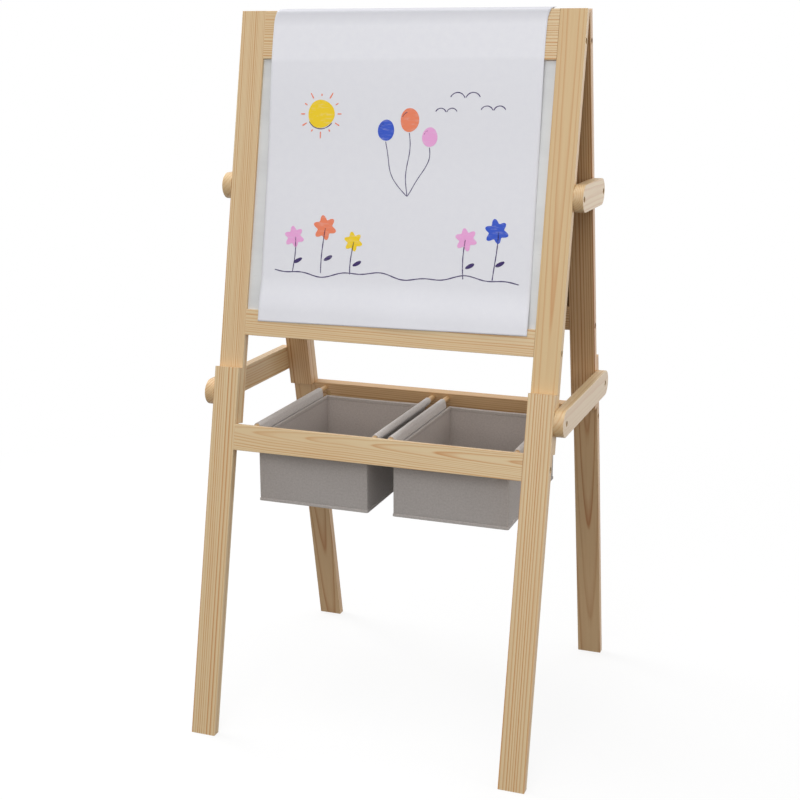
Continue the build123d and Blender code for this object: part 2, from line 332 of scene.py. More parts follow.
# %% Lamps
# Place and size in metres, and power in watts.
lamps = {
    "key": ((0.3, -2.6, 1.6), 1.7, 21.5),
    "overhead": ((-0.3, -0.3, 3.6), 2.4, 26.0),
    "right": ((2.5, -0.3, 1.15), 2.0, 12.0),
    "left": ((-2.3, 0.5, 1.8), 1.5, 36.0),
    "behind": ((1.9, 3.3, 0.9), 1.7, 9.0),
}
easel_middle = (cad_low + cad_high) / 2


def make_lamp(name, place, size, power):
    """A round lamp that looks at the middle of the easel and isn't seen itself."""
    data = bpy.data.lights.new(name, "AREA")
    data.shape = "DISK"
    data.size = size
    data.energy = power
    lamp = bpy.data.objects.new(name, data)
    lamp.location = place
    lamp.rotation_euler = (easel_middle - Vector(place)).to_track_quat("-Z", "Y").to_euler()
    lamp.visible_camera = False
    bpy.context.scene.collection.objects.link(lamp)


for name, (place, size, power) in lamps.items():
    make_lamp(name, place, size, power)
print(len(lamps), "lamps look at", tuple(round(v, 3) for v in easel_middle))

# %% [markdown]
# ## Pine
#
# Pine is a stack of growth rings: pale spring wood that slowly darkens into a thin brown line, then starts
# again at once. A board is cut from that stack, so straight lines, broad arches and the arcs on a sawn end
# are all the same rings seen from different sides. A painted pattern would have to be drawn for each face.
# A solid pattern is simpler and right from all sides: measure the distance from a point to the pith line of
# the tree, divide it by the ring width, and colour by what is left after the whole rings. Each bar gets its
# own pith line. Far to the side gives straight lines, and close behind the face gives arches.

# %% Growth rings as a solid pattern
lean = math.radians(12.0)
grain_axes = {"up": "XYZ", "along": "ZYX", "deep": "ZXY"}
# Repeats of the noise per metre across, through and along the grain.
drift_scale, ripple_scale = (9, 9, 2.6), (30, 30, 7)
year_wave, year_wave_rate = 0.35, 0.83


def growth_rings(grained, seed, pith=(0.03, -0.05), slant=0.01, tilt=0.0, ring=0.004, wander=0.002,
                 onset=0.5):
    """Phase = distance to the pith line / ring width, where the distance is taken across and through the
    bar. Along the grain the line drifts across with slant and through with tilt, and wanders with slow
    noise. A slow wave of the phase itself makes some years wide and others narrow. Returns how dark the
    wood is in its ring, which grows from onset on, and a random weight for each ring."""
    across, through, length = (axis(grained, letter) for letter in "XYZ")
    drift = noise(grained, drift_scale, 2.0, 0.5, (seed, 1.7 * seed, 2.3 * seed)) - 0.5
    ripple = noise(grained, ripple_scale, 2.0, 0.5, (2.1 * seed, seed, 0.7 * seed)) - 0.5
    off_line = across - pith[0] + slant * length + 4 * wander * drift + wander * ripple
    below = through - pith[1] + tilt * length + 2 * wander * ripple
    years = (off_line * off_line + below * below) ** 0.5 / ring + seed
    phase = years + year_wave * (year_wave_rate * years).math("SINE")
    part = phase.math("FRACT")
    halfway = onset + 0.55 * (1 - onset)
    late = ramp(part, (0.0, 0.2), (0.08, 0.0), (onset, 0.06), (halfway, 0.6), (0.92, 1.0), (1.0, 0.2))
    count = phase.math("FLOOR")
    weight = count.make("ShaderNodeTexWhiteNoise", {"noise_dimensions": "1D"}, {"W": count + seed})
    return late, weight


print("ring pattern ready for a lean of", round(math.degrees(lean), 1), "degrees")

# %% [markdown]
# Rings alone look printed. Planed pine also has fine fibres and longer streaks along the grain, warmer
# clouds here and there, and ends that soak up varnish and turn dark. On some bars both broad sides are
# painted paler, a painted highlight for glancing light. A thin clear coat lies over it all.

# %% Pine finish
pine_pale, pine_line = tint("DCC398"), tint("BD7930")
# The middle tint on the next line is a painted highlight for glancing light on the broad sides of some bars.
pine_warm, pine_side_sheen, pine_sawn = tint("D2A876"), tint("E6D1BA"), tint("BE9460")
fibre_scale, streak_scale, cloud_scale = (900, 900, 14), (260, 260, 6), (14, 14, 3)
varnish = {"Coat Weight": 0.35, "Coat Roughness": 0.35}


def pine(name, node, grain, slope=0.0, seed=0.0, pale=pine_pale, dark=pine_line, line=0.75, side_sheen=0.0,
         **cut):
    """Rings in a bar whose grain runs up, along or deep in a frame of that slope. Line is how dark the rings
    get, the sheen share paints both broad sides paler as a painted highlight for glancing light, and cut
    places the rings."""
    material, start = new_material(name)
    low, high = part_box(node)
    shift = -(Matrix.Rotation(slope, 3, "X") @ ((low + high) / 2))
    local = placed(coordinates(start, "Object"), shift=shift, turn=(slope, 0, 0))
    grained = start.make(
        "ShaderNodeCombineXYZ", {}, {i: axis(local, letter) for i, letter in enumerate(grain_axes[grain])}
    )
    late, weight = growth_rings(grained, seed, **cut)
    fibre = noise(grained, fibre_scale, 3.0, 0.6, (seed, seed, seed))
    streak = noise(grained, streak_scale, 2.0, 0.5, (seed, 3 * seed, seed))
    cloud = noise(grained, cloud_scale, 2.0, 0.5, (5 * seed, seed, seed))
    shade = late * (line * (0.4 + 0.6 * weight)) + 0.4 * (streak - 0.5) + 0.25 * (fibre - 0.5)
    wood = mixed(shade.math("MAXIMUM", 0.0), pale, dark)
    wood = mixed(ramp(cloud, (0.45, 0.0), (0.8, 0.3)), wood, pine_warm)
    facing = placed(face_normal(start), turn=(slope, 0, 0))
    sawn = axis(facing, grain_axes[grain][2]).math("ABSOLUTE")
    wood = mixed(ramp(sawn, (0.55, 0.0), (0.95, 0.35)), wood, pine_sawn)
    # Painted highlight: both broad sides are mixed towards a pale tint, standing in for glancing light on
    # them.
    if side_sheen:
        sheen_facing = axis(facing, "X").math("ABSOLUTE")
        wood = mixed(ramp(sheen_facing, (0.55, 0.0), (0.95, side_sheen)), wood, pine_side_sheen)
    roughness = 0.42 + 0.16 * fibre + 0.05 * late
    finish_material(start, wood, roughness, 0.6 * late + 0.5 * fibre, 0.00025, 0.3, varnish)
    return material


print("pine finish ready")

# %% [markdown]
# ## Which bar has which grain
#
# The bars in the picture don't match each other, and that is what makes them look like wood. The front legs
# have straight, strong lines, the tray rail has long tongues like flames, the right front upright has only a
# few quiet lines, and the struts on the right are pale on their sides, which is a painted highlight for
# glancing light. One material for all bars would be quick, but the rings would then run on from bar to bar.
# Here a small table lists how each bar is cut, and a loop makes its material. The bars of the back frame are
# darker and redder, a painted shade for the frame that stands in the shade of the front one.

# %% Cut of each bar
pine_quiet = tint("D4B685")
# Painted shade: a darker, redder copy of the pine for the bars of the back frame.
back_shade_wood = {"pale": tint("D3B083"), "dark": tint("A6652E")}
few_lines = {"slant": 0.003, "onset": 0.62, "pale": pine_quiet}
cuts = {
    "straight": {"pith": (0.06, -0.02), "slant": 0.004, "ring": 0.0041, "wander": 0.0007, "line": 1.25},
    "fine": {"pith": (-0.05, -0.015), "slant": 0.006, "ring": 0.0024, "wander": 0.0008, "line": 1.05},
    "even": {"pith": (-0.05, -0.015), "slant": 0.006, "ring": 0.0036, "wander": 0.0010, "line": 1.15},
    "broad": {"pith": (0.03, -0.035), "slant": 0.012, "ring": 0.0040, "wander": 0.0025, "line": 0.6},
    "wavy": {"pith": (0.032, -0.028), "slant": 0.012, "ring": 0.0031, "wander": 0.0030, "line": 0.9},
    "plain": {"pith": (0.002, 0.0104), "tilt": 0.03, "ring": 0.0062, "wander": 0.0012, "line": 0.9,
              **few_lines},
    "quiet": {"pith": (0.002, 0.0068), "tilt": 0.006, "ring": 0.005, "wander": 0.001, "line": 0.7,
              **few_lines},
    "flame": {"pith": (0.009, 0.004), "slant": 0.012, "tilt": 0.025, "ring": 0.0024, "wander": 0.0024,
              "line": 0.9},
    # The last two cuts carry a share of painted highlight on their broad sides.
    "arched": {"pith": (0.004, -0.014), "slant": 0.010, "ring": 0.0032, "wander": 0.0020, "line": 0.95,
               "side_sheen": 0.28},
    "faint": {"pith": (0.02, -0.03), "slant": 0.010, "ring": 0.0042, "wander": 0.0020, "line": 0.6,
              "side_sheen": 0.5},
}
bar_cuts = {
    "front_left_stile": "fine", "front_right_stile": "quiet",
    "front_left_leg": "straight", "front_right_leg": "straight",
    "back_left_stile": "straight", "back_right_stile": "straight",
    "back_left_leg": "plain", "back_right_leg": "plain",
    "front_top_rail": "even", "front_bottom_rail": "wavy", "front_tray_rail": "flame",
    "back_top_rail": "straight", "back_bottom_rail": "even", "back_tray_rail": "wavy",
    "left_upper_strut": "broad", "left_lower_strut": "wavy",
    "right_upper_strut": "arched", "right_lower_strut": "faint",
}
print(len(cuts), "cuts for", len(bar_cuts), "bars")

# %% Wood on bars and dowels
slopes = {"front": lean, "back": -lean}
grains = {"rail": "along", "strut": "deep"}
bar_seed, bar_seed_step, dowel_seed = 3.7, 1.31, 31.0
dowel_cut = {"ring": 0.0026, "pith": (0.02, 0.01), "pale": tint("D3AE7C"), "dark": tint("AE7F4B")}

for order, (name, cut) in enumerate(bar_cuts.items()):
    words = name.split("_")
    grain, slope = grains.get(words[-1], "up"), slopes.get(words[0], 0.0)
    # The back frame's bars take the darker, redder painted-shade tints.
    values = {**cuts[cut], **(back_shade_wood if words[0] == "back" else {})}
    dress(pine(f"pine_{name}", name, grain, slope, bar_seed + bar_seed_step * order, **values), name)

dowels = [name for name in nodes if name.endswith("_rod")]
for order, name in enumerate(dowels):
    grain = "along" if name == "paper_roll_rod" else "deep"
    dress(pine(f"dowel_{name}", name, grain, seed=dowel_seed + order, **dowel_cut), name)
print("wood on", len(bar_cuts), "bars and", len(dowels), "dowels")

# %% [markdown]
# ## Boards, card and fasteners
#
# The white board is a coated panel: smooth, a little glossy, with faint wipe marks in its tone and gloss.
# The chalk board is matt and dark, with pale dust left by the eraser in long sideways strokes. Both are
# coated on the outside only, and bare brown hardboard inside, which the direction of each face tells
# apart. Card, steel, brass and beech are seen only in glimpses, in the bolt holes and inside the bins, so
# each gets a short material, but still with its own grain or flecks.

# %% Board finishes
hardboard_dark, hardboard_pale = tint("8A6A48"), tint("A5835C")
coating, wiped_coating = tint("DEDFDF"), tint("D3D4D5")
slate, chalk_dust = tint("25282A"), tint("8B908F")
hardboard_fibres, coat_grain, slate_grit = (300, 300, 300), (260, 260, 260), (700, 700, 700)
wipe_scale, swipe_scale = (5, 22, 22), (3.5, 20, 20)


def on_front(start, place, colour, sign):
    """The colour on the face that looks along Y by that sign, and brown hardboard on the other sides."""
    outward = axis(face_normal(start), "Y") * sign
    hardboard = mixed(noise(place, hardboard_fibres, 4.0, 0.7), hardboard_dark, hardboard_pale)
    return mixed(ramp(outward, (0.5, 0.0), (0.6, 1.0)), hardboard, colour)


def white_board():
    """A smooth coating whose tone and roughness follow noise stretched sideways, like a wiping hand."""
    material, start = new_material("white_board")
    place = coordinates(start, "Object")
    wipe = noise(place, wipe_scale, 4.0, 0.6)
    bumps = noise(place, coat_grain, 2.0, 0.5)
    colour = mixed(ramp(wipe, (0.4, 0.0), (0.75, 1.0)), coating, wiped_coating)
    finish_material(start, on_front(start, place, colour, -1), 0.2 + 0.22 * wipe, bumps, 0.00006, 0.3)
    return material


def chalk_board():
    """Slate black, with wiped chalk as noise stretched sideways and broken by finer noise."""
    material, start = new_material("chalk_board")
    place = coordinates(start, "Object")
    swipe = noise(place, swipe_scale, 5.0, 0.65)
    grit = noise(place, slate_grit, 2.0, 0.6)
    dust = ramp(swipe, (0.45, 0.0), (0.8, 0.5)) * (0.5 + grit)
    colour = mixed(dust * 0.4, slate, chalk_dust)
    finish_material(start, on_front(start, place, colour, 1), 0.78 + 0.15 * grit, grit, 0.00012, 0.5)
    return material


dress(white_board(), "whiteboard_panel")
dress(chalk_board(), "chalkboard_panel")
print("boards finished")

# %% Card and fastener finishes
fleck_scale, metal_grain = (420, 420, 420), (300, 300, 300)
dull_paint, bare_metal = {"Specular IOR Level": 0.25}, {"Metallic": 1.0}


def speckled(name, first, second, scale, roughness, depth, fixed=None):
    """Two near tints mixed by noise with its own scale along each axis. The noise also gives the bump, and
    finer flecks vary the roughness."""
    material, start = new_material(name)
    place = coordinates(start, "Object")
    grain = noise(place, scale, 4.0, 0.6)
    flecks = noise(place, fleck_scale, 2.0, 0.6)
    colour = mixed(ramp(grain, (0.3, 0.0), (0.7, 1.0)), tint(first), tint(second))
    height = 0.6 * grain + 0.4 * flecks
    finish_material(start, colour, roughness - 0.1 + 0.2 * flecks, height, depth, 0.4, fixed)
    return material


bin_card = speckled("bin_card", "A09893", "908984", (60, 240, 60), 0.85, 0.0002)
core_card = speckled("core_card", "B79A74", "A1835D", (25, 140, 140), 0.8, 0.0002)
bolt_steel = speckled("bolt_steel", "2B2622", "1C1916", metal_grain, 0.7, 0.00004, dull_paint)
insert_brass = speckled("insert_brass", "C7A15A", "A98443", metal_grain, 0.4, 0.00004, bare_metal)
nut_zinc = speckled("nut_zinc", "CBA878", "B9935F", metal_grain, 0.6, 0.00004)
pin_beech = speckled("pin_beech", "D6B48C", "C39C70", (30, 500, 500), 0.6, 0.0001)
dress(bin_card, "left_bin_base_board", "right_bin_base_board")
dress(core_card, "paper_core_tube")
dress(bolt_steel, "strut_bolts", "rail_bolts")
dress(insert_brass, "threaded_inserts")
dress(nut_zinc, "barrel_nuts")
dress(pin_beech, "rail_pins", "lap_pins")
print("card and fasteners finished")

# %% [markdown]
# ## From arrays to meshes
#
# Every new piece below is a surface on a grid: a formula gives the place of each grid point, and each cell
# of the grid becomes a face. Blender could model these with extrudes and modifiers, but a formula keeps the
# sizes exact and a whole array is worked out at once. A closed shape repeats its first row at the end, and
# merging the doubles then closes the seam while each side keeps its own place on the UV map.

# %% Grid surfaces
def grid_quads(rows, columns):
    """The four corner numbers of each cell of a grid whose points are numbered row by row."""
    index = np.arange(rows * columns).reshape(rows, columns)
    corners = [index[:-1, :-1], index[1:, :-1], index[1:, 1:], index[:-1, 1:]]
    return np.stack(corners, axis=-1).reshape(-1, 4)


def close_shell(mesh, merge, facing):
    """Merge doubles, and point faces outwards or, on an open skin, to the side that facing looks to."""
    shell = bmesh.new()
    shell.from_mesh(mesh)
    bmesh.ops.remove_doubles(shell, verts=shell.verts, dist=merge)
    if facing is None:
        bmesh.ops.recalc_face_normals(shell, faces=shell.faces)
    else:
        shell.normal_update()
        bmesh.ops.reverse_faces(shell, faces=[face for face in shell.faces if face.normal.dot(facing) < 0])
    shell.to_mesh(mesh)
    shell.free()


def surface(name, grids, uv=None, merge=1e-6, facing=None, sharp=math.radians(40)):
    """A mesh of quads from grids of points, each an array (rows, columns, 3)."""
    firsts = np.cumsum([0] + [grid.shape[0] * grid.shape[1] for grid in grids])
    quads = np.concatenate([first + grid_quads(*grid.shape[:2]) for first, grid in zip(firsts, grids)])
    mesh = bpy.data.meshes.new(name)
    mesh.from_pydata(np.concatenate([grid.reshape(-1, 3) for grid in grids]).tolist(), [], quads.tolist())
    if uv is not None:
        corners = np.zeros(len(mesh.loops), np.int32)
        mesh.loops.foreach_get("vertex_index", corners)
        values = uv.reshape(-1, 2)[corners].astype(np.float32)
        mesh.uv_layers.new(name="cloth").data.foreach_set("uv", values.ravel())
    if merge:
        close_shell(mesh, merge, facing)
    mesh.polygons.foreach_set("use_smooth", np.ones(len(mesh.polygons), bool))
    mesh.set_sharp_from_angle(angle=sharp)
    piece = bpy.data.objects.new(name, mesh)
    bpy.context.scene.collection.objects.link(piece)
    return piece


print("surfaces ready")

# %% Pieces that move with a body
def wear(piece, material, body):
    """Give a new piece its finish and the body it moves with."""
    piece.data.materials.append(material)
    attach(piece, body)
    print(piece.name, "has", len(piece.data.polygons), "faces")
    return piece


# %% [markdown]
# ## The path of the drawing paper
#
# The paper comes off the front of the roll, rises through the narrow gap between the two halves, arches over
# the front top rail and hangs down the face. A cloth simulation could find such a shape, but paper hardly
# stretches and the path is known, so it is built as a path with length: a straight run, a smooth arch, and a
# long run that lies on the slope, stands off a little where the stiff paper leaves the arch, and eases down
# on to the board between the rails.

# %% Places on the paper's path
# Thickness of the bars, and the gap between the two halves at the top.
stock, top_gap = 0.013, 0.0024
paper_thickness = 0.0004
roll_play = 0.0003

roll_low, roll_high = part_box("paper_roll")
roll_z = (roll_low.z + roll_high.z) / 2
roll_radius = (roll_high.z - roll_low.z) / 2
crown = np.array([-top_gap / 2 - stock * math.cos(lean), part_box("front_left_stile")[1].z])
gap = np.array([0.0, crown[1] - stock * math.sin(lean)])
down_slope = np.array([-math.sin(lean), -math.cos(lean)])
off_slope = np.array([-math.cos(lean), math.sin(lean)])
sheet_low, sheet_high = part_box("paper_sheet")
sheet_width = sheet_high.x - sheet_low.x
hang = (crown[1] - sheet_low.z) / math.cos(lean)
top_rail_end = (gap[1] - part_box("front_top_rail")[0].z) / math.cos(lean)
bottom_rail_start = (crown[1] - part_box("front_bottom_rail")[1].z) / math.cos(lean)
print("paper hangs", round(hang * 1000, 1), "mm down the face")

# %% Path over the top
arch_down = 0.0015
arch_handles = (0.008, 0.003)
stand_off, stand_reach = 0.0007, 0.05
face_gap = 0.00025
board_dip, dip_start, dip_end = 0.0038, 0.16, 0.05


def lengths_along(points):
    """Distance from the first point of a line to each of its points, along the line."""
    return np.concatenate([[0.0], np.cumsum(np.linalg.norm(np.diff(points, axis=0), axis=1))])


def straight_run(first, last, count):
    """Points spread evenly from the first to the last."""
    return first + (last - first) * np.linspace(0, 1, count)[:, None]


def bezier(a, b, c, d, count):
    """A curve from a to d whose ends point at b and c: four points weighted by powers of t and 1 - t."""
    t = np.linspace(0, 1, count)[:, None]
    return (1 - t) ** 3 * a + 3 * (1 - t) ** 2 * t * b + 3 * (1 - t) * t ** 2 * c + t ** 3 * d


def smooth(t):
    """From 0 to 1 with level ends: three times t squared less twice its cube."""
    t = np.clip(t, 0, 1)
    return t * t * (3 - 2 * t)


def face_run(count):
    """The run down the face: along the slope, standing off by a bell curve below the arch, and dipping on to
    the board by a smooth step below the top rail and back above the bottom rail."""
    down = np.linspace(arch_down, hang, count)[:, None]
    off = face_gap + paper_thickness / 2 + stand_off * np.exp(-((down - arch_down) / stand_reach) ** 2)
    below_rail = smooth((down - top_rail_end) / dip_start)
    above_rail = smooth((bottom_rail_start - down) / dip_end)
    off = off - board_dip * below_rail * above_rail
    return crown + down * down_slope + off * off_slope


reach = roll_radius + roll_play + paper_thickness / 2
swing = math.asin(reach / (gap[1] - roll_z))
touch = np.array([-reach * math.cos(swing), roll_z + reach * math.sin(swing)])
rise = (gap - touch) / np.linalg.norm(gap - touch)
front = face_run(240)
arch = bezier(gap, gap + arch_handles[0] * rise, front[0] - arch_handles[1] * down_slope, front[0], 80)
sheet_path = np.concatenate([straight_run(touch, gap, 60), arch[1:], front[1:]])
sheet_along = lengths_along(sheet_path)
sheet_length = sheet_along[-1]
crest_along = sheet_along[np.argmax(sheet_path[:, 1])]
print("paper", round(sheet_width * 1000, 1), "x", round(sheet_length * 1000, 1), "mm flat")

# %% [markdown]
# ## The sheet itself
#
# The sheet in the picture hangs slightly askew, turned by less than a degree. Turning the finished mesh
# would push it into the wood, so the turn happens on the flat sheet, before it is laid on the path: a
# point of the flat paper is first turned, then found on the path by its distance along it. The sheet keeps
# its cut size and still follows the wood. At the crest it is drawn a few millimetres to the right, which
# curves its top corners. The lower edge gets a light wave, as paper from a roll has.

# %% Laying points on the path
askew = math.radians(0.85)
askew_pivot, askew_ease = 0.14, 0.08
pull_side, pull_reach, pull_back = 0.0084, 0.026, 0.014
wave_height, wave_reach, wave_most = 0.0012, 0.09, 1.2
wave_lengths, wave_shift = (0.033, 0.071), 0.6


def on_sheet(across, along, lift=0.0):
    """Place of points of the flat sheet: turned askew past the arch, pulled a little to the right at the
    crest, found on the path and lifted along its normal. The pull fades as a square, sooner behind than in
    front. The wave is a sine times a cosine across, and grows as a square towards the lower edge."""
    below = along - crest_along
    past = smooth(below / askew_ease)
    pull = np.clip(1 - np.where(below > 0, below / pull_reach, -below / pull_back), 0, 1) ** 2
    side = across + math.sin(askew) * past * (below - askew_pivot) + pull_side * pull
    run = along - math.sin(askew) * past * across
    beyond = np.maximum(run - sheet_length, 0)
    run = np.clip(run, 0, sheet_length)
    y, z = (np.interp(run, sheet_along, sheet_path[:, i]) for i in range(2))
    slope_y, slope_z = (
        np.interp(run, sheet_along, np.gradient(sheet_path[:, i], sheet_along)) for i in range(2)
    )
    low = np.clip((run + beyond - sheet_length + wave_reach) / wave_reach, 0, wave_most)
    ripple = np.sin(across / wave_lengths[0] + wave_shift) * np.cos(across / wave_lengths[1])
    off = lift + wave_height * low ** 2 * (1 + ripple)
    y = y + slope_y * beyond + slope_z * off
    z = z + slope_z * beyond - slope_y * off
    return np.stack([side, y, z], axis=-1)


print("crest is", round(crest_along * 1000, 1), "mm along the sheet")

# %% Sheet of paper
paper_white, paper_cool = tint("F0F0F5"), tint("EDEDF3")
# Painted shade: the two tints on the next line grey the paper below the top rail's edge and over the crest.
paper_rail_shade, paper_crest_shade = tint("DEDEE4"), tint("AEAEB6")
pulp_scale, paper_fleck = (90, 90, 90), (900, 900, 900)
rail_blur = 0.006
crest_shade_reach = 0.03
skin_share = 0.8
sheet_columns, sheet_rows = 100, 330


def paper_finish(name, rail_edge, bend):
    """Cool white pulp with faint flecks. Past the rail's edge along the sheet the paper is a little greyer,
    a painted shade where it leaves the rail, and the bend over the top is greyer, a painted shade for the
    crest."""
    material, start = new_material(name)
    cloth = coordinates(start, "UV")
    pulp = noise(cloth, pulp_scale, 4.0, 0.6)
    fleck = noise(cloth, paper_fleck, 2.0, 0.6)
    along = axis(cloth, "Y")
    # Painted shade: past the top rail's edge along the sheet the colour is greyed, standing in for shade
    # where the paper leaves the rail.
    behind = ramp((along - rail_edge + rail_blur / 2) / rail_blur, (0.0, 0.0), (1.0, 1.0))
    from_crest_shade = (along - bend).math("ABSOLUTE") / crest_shade_reach
    colour = mixed(ramp(pulp, (0.3, 0.0), (0.7, 1.0)), paper_white, paper_cool)
    colour = mixed(behind * 0.3, colour, paper_rail_shade)
    # Painted shade: the crest over the top is greyed in the colour, standing in for the shade where the
    # sheet turns away.
    colour = mixed(ramp(from_crest_shade, (0.0, 0.8), (0.35, 0.35), (1.0, 0.0)), colour, paper_crest_shade)
    finish_material(start, colour, 0.78 + 0.14 * fleck, 0.3 * pulp + 0.7 * fleck, 0.00005, 0.3)
    return material


across, along = np.meshgrid(
    np.linspace(-sheet_width / 2, sheet_width / 2, sheet_columns), np.linspace(0, sheet_length, sheet_rows)
)
sheet = surface("drawing_sheet", [on_sheet(across, along)], np.stack([across, along], axis=-1), merge=None)
skin = sheet.modifiers.new("paper thickness", "SOLIDIFY")
skin.thickness = paper_thickness * skin_share
skin.offset = 0.0
top_rail_edge = sheet_length - hang + top_rail_end
wear(sheet, paper_finish("drawing_paper", top_rail_edge, crest_along), "easel")
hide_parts("paper_sheet")

# %% [markdown]
# ## A drawing
#
# The sheet carries a drawing in felt pen. Real ink has no thickness to speak of, so it could be painted in
# the paper's material, but each motif would then need its own mask. Here each stroke is a thin ribbon and
# each coloured shape a disc with a wobbling edge, both drawn on the flat sheet and then laid on it, a hair
# above the paper. They bend with the sheet and keep crisp edges at any distance.

# %% Shapes on the flat sheet
ink_lift = 0.00032
disc_rings, disc_spokes = 5, 65


def drawn(u, down):
    """Places on the sheet for millimetres across from its middle and down from the crest."""
    return on_sheet(np.asarray(u) / 1000, crest_along + np.asarray(down) / 1000, ink_lift)


def blob(u, down, width, height, turn=0.0, petals=0, depth=0.0, wobble=0.03):
    """A disc in polar form: the radius is 1, plus a petal wave, plus a slow wobble, stretched and turned."""
    share, angle = np.meshgrid(
        np.linspace(0, 1, disc_rings), np.linspace(0, 2 * np.pi, disc_spokes), indexing="ij"
    )
    radius = share * (1 + depth * np.cos(petals * angle) + wobble * np.sin(3 * angle + u))
    x, y = radius * np.cos(angle) * width / 2, radius * np.sin(angle) * height / 2
    return drawn(u + x * math.cos(turn) - y * math.sin(turn), down + x * math.sin(turn) + y * math.cos(turn))


print("shapes lie", ink_lift * 1000, "mm above the middle of the paper")

# %% Strokes on the flat sheet
pen_swell, pen_swell_length = 0.12, 2.3
tip_least = 0.0004
ribbon_rows = 5


def stroke(u, down, width, count=65):
    """A ribbon along points of the flat sheet, resampled evenly, with its ends drawn to a round tip and its
    width swelling by a sine of the length."""
    line = np.column_stack([u, down])
    length = lengths_along(line)
    spots = np.linspace(0, length[-1], count)
    u, down = (np.interp(spots, length, line[:, i]) for i in range(2))
    heading = np.arctan2(np.gradient(down), np.gradient(u))
    to_end = np.minimum(spots, length[-1] - spots)
    tip = np.sqrt(np.clip(1 - np.clip(1 - to_end / width, 0, 1) ** 2, tip_least, 1))
    half = width / 2 * tip * (1 + pen_swell * np.sin(spots / pen_swell_length + u[0]))
    side = np.linspace(-1, 1, ribbon_rows)[:, None]
    return drawn(u - side * half * np.sin(heading), down + side * half * np.cos(heading))


def curl(u, down, radius, start, end, count=40):
    """Points of an arc, from one angle to another in degrees."""
    angle = np.radians(np.linspace(start, end, count))
    return u + radius * np.cos(angle), down + radius * np.sin(angle)


print("pen tools ready")

# %% [markdown]
# The motifs are ones that any child draws: a sun, balloons, birds and a row of flowers on a wavy ground.
# Round shapes suit the blob and long lines suit the stroke. The colours are those of a small box of pens.
# Places and sizes are millimetres on the flat sheet.

# %% Sun and balloons
inks = {"yellow": [], "coral": [], "blue": [], "pink": [], "violet": []}
sun_u, sun_down = -118, 150
ray_near, ray_far, ray_change = 24.5, 31.0, 3.0
knot_u, knot_down = 14, 262
# Across, down, size and ink.
balloons = ((-20, 172, 24, "blue"), (14, 158, 27, "coral"), (44, 181, 22, "pink"))

inks["yellow"].append(blob(sun_u, sun_down, 40, 39))
for angle in np.radians(np.arange(0, 360, 30)):
    spoke = np.array([ray_near, ray_far + ray_change * math.sin(5 * angle)])
    inks["coral"].append(stroke(sun_u + spoke * math.cos(angle), sun_down + spoke * math.sin(angle), 1.8))
inks["violet"].append(stroke(*curl(sun_u, sun_down, 20.6, 35, 150), 1.2))

for u, down, size, ink in balloons:
    fall = np.linspace(0, 1, 40)
    neck = down + size * 0.62
    string = u + (knot_u - u) * fall ** 2 + 2.2 * np.sin(7 * fall), neck + (knot_down - neck) * fall
    inks[ink].append(blob(u, down, size, size * 1.2, wobble=0.015))
    inks["violet"].append(stroke(*string, 1.1))
    inks["violet"].append(stroke(*curl(u, down, size * 0.42, 200, 250), 1.0))
print("sun and balloons drawn with", sum(len(parts) for parts in inks.values()), "shapes")

# %% Flowers, birds and ground
ground = 372
# Across, down and size, and the ink of the petals.
flowers = (
    (-150, 322, 25, "pink"), (-104, 308, 29, "coral"), (-60, 326, 23, "yellow"),
    (104, 318, 26, "pink"), (146, 306, 28, "blue"),
)
birds = ((92, 132, 11), (132, 148, 9), (66, 150, 8))

for u, top, size, ink in flowers:
    stem = np.linspace(0, 1, 30)
    inks["violet"].append(stroke(u + 3.0 * np.sin(2.4 * stem + u), top + (ground - top) * stem, 1.4))
    inks["violet"].append(blob(u + 7.5, top + 0.66 * (ground - top), 14, 5.5, -0.5))
    inks[ink].append(blob(u, top, size, size, 0.3, 6, 0.22))

for u, down, size in birds:
    inks["violet"].append(stroke(*curl(u - size, down, size, 205, 340), 1.3))
    inks["violet"].append(stroke(*curl(u + size, down, size, 200, 335), 1.3))

ground_u = np.linspace(-178, 182, 200)
ground_down = ground + 3.4 * np.sin(ground_u / 23) + 2.0 * np.sin(ground_u / 9.5)
inks["violet"].append(stroke(ground_u, ground_down, 1.5, 260))
print("motifs:", {ink: len(parts) for ink, parts in inks.items()})

# %% Ink on the sheet
ink_tints = {"yellow": "F6D21C", "coral": "F08560", "blue": "2F55C8", "pink": "EFA8DC", "violet": "34205E"}
dry_ink = tint("E6E6EC")
pen_scale = (70, 300, 300)
ink_merge = 1e-7
sheet_faces = Vector((0, -math.cos(lean), math.sin(lean)))


def felt_pen(name, code):
    """Ink soaked into paper: the tint, lighter where the pen ran dry, on the paper's own roughness."""
    material, start = new_material(name)
    place = coordinates(start, "Object")
    dry = noise(place, pen_scale, 4.0, 0.65)
    pulp = noise(place, paper_fleck, 2.0, 0.6)
    colour = mixed(ramp(dry, (0.5, 0.0), (0.85, 0.35)), tint(code), dry_ink)
    finish_material(start, colour, 0.6 + 0.2 * pulp, pulp, 0.00008, 0.3)
    return material


for ink, parts in inks.items():
    piece = surface(f"drawing_{ink}", parts, merge=ink_merge, facing=sheet_faces, sharp=0.0)
    wear(piece, felt_pen(f"felt_pen_{ink}", ink_tints[ink]), "easel")

# %% [markdown]
# ## The wound roll
#
# A roll of paper is one long sheet wound on a card tube. A cylinder would lose the two things that show it
# is wound: the fine spiral on its ends and the small step where the last turn lies on the one before. The
# roll is a closed profile carried round the rod. Its radius falls by one paper thickness in a full turn, and
# its ends are raised and lowered by a wave that follows the turns.

# %% Roll of paper
core_play = 0.0001
core_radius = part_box("paper_core_tube")[1].z - roll_z + core_play
turn_pitch = 0.0011
end_relief = 0.0003
step_share = 0.999
end_stretch = 4
# A distance along the paper that no point of the roll reaches, so the painted shade of rail and crest stays
# off the roll.
no_edge = 9.0


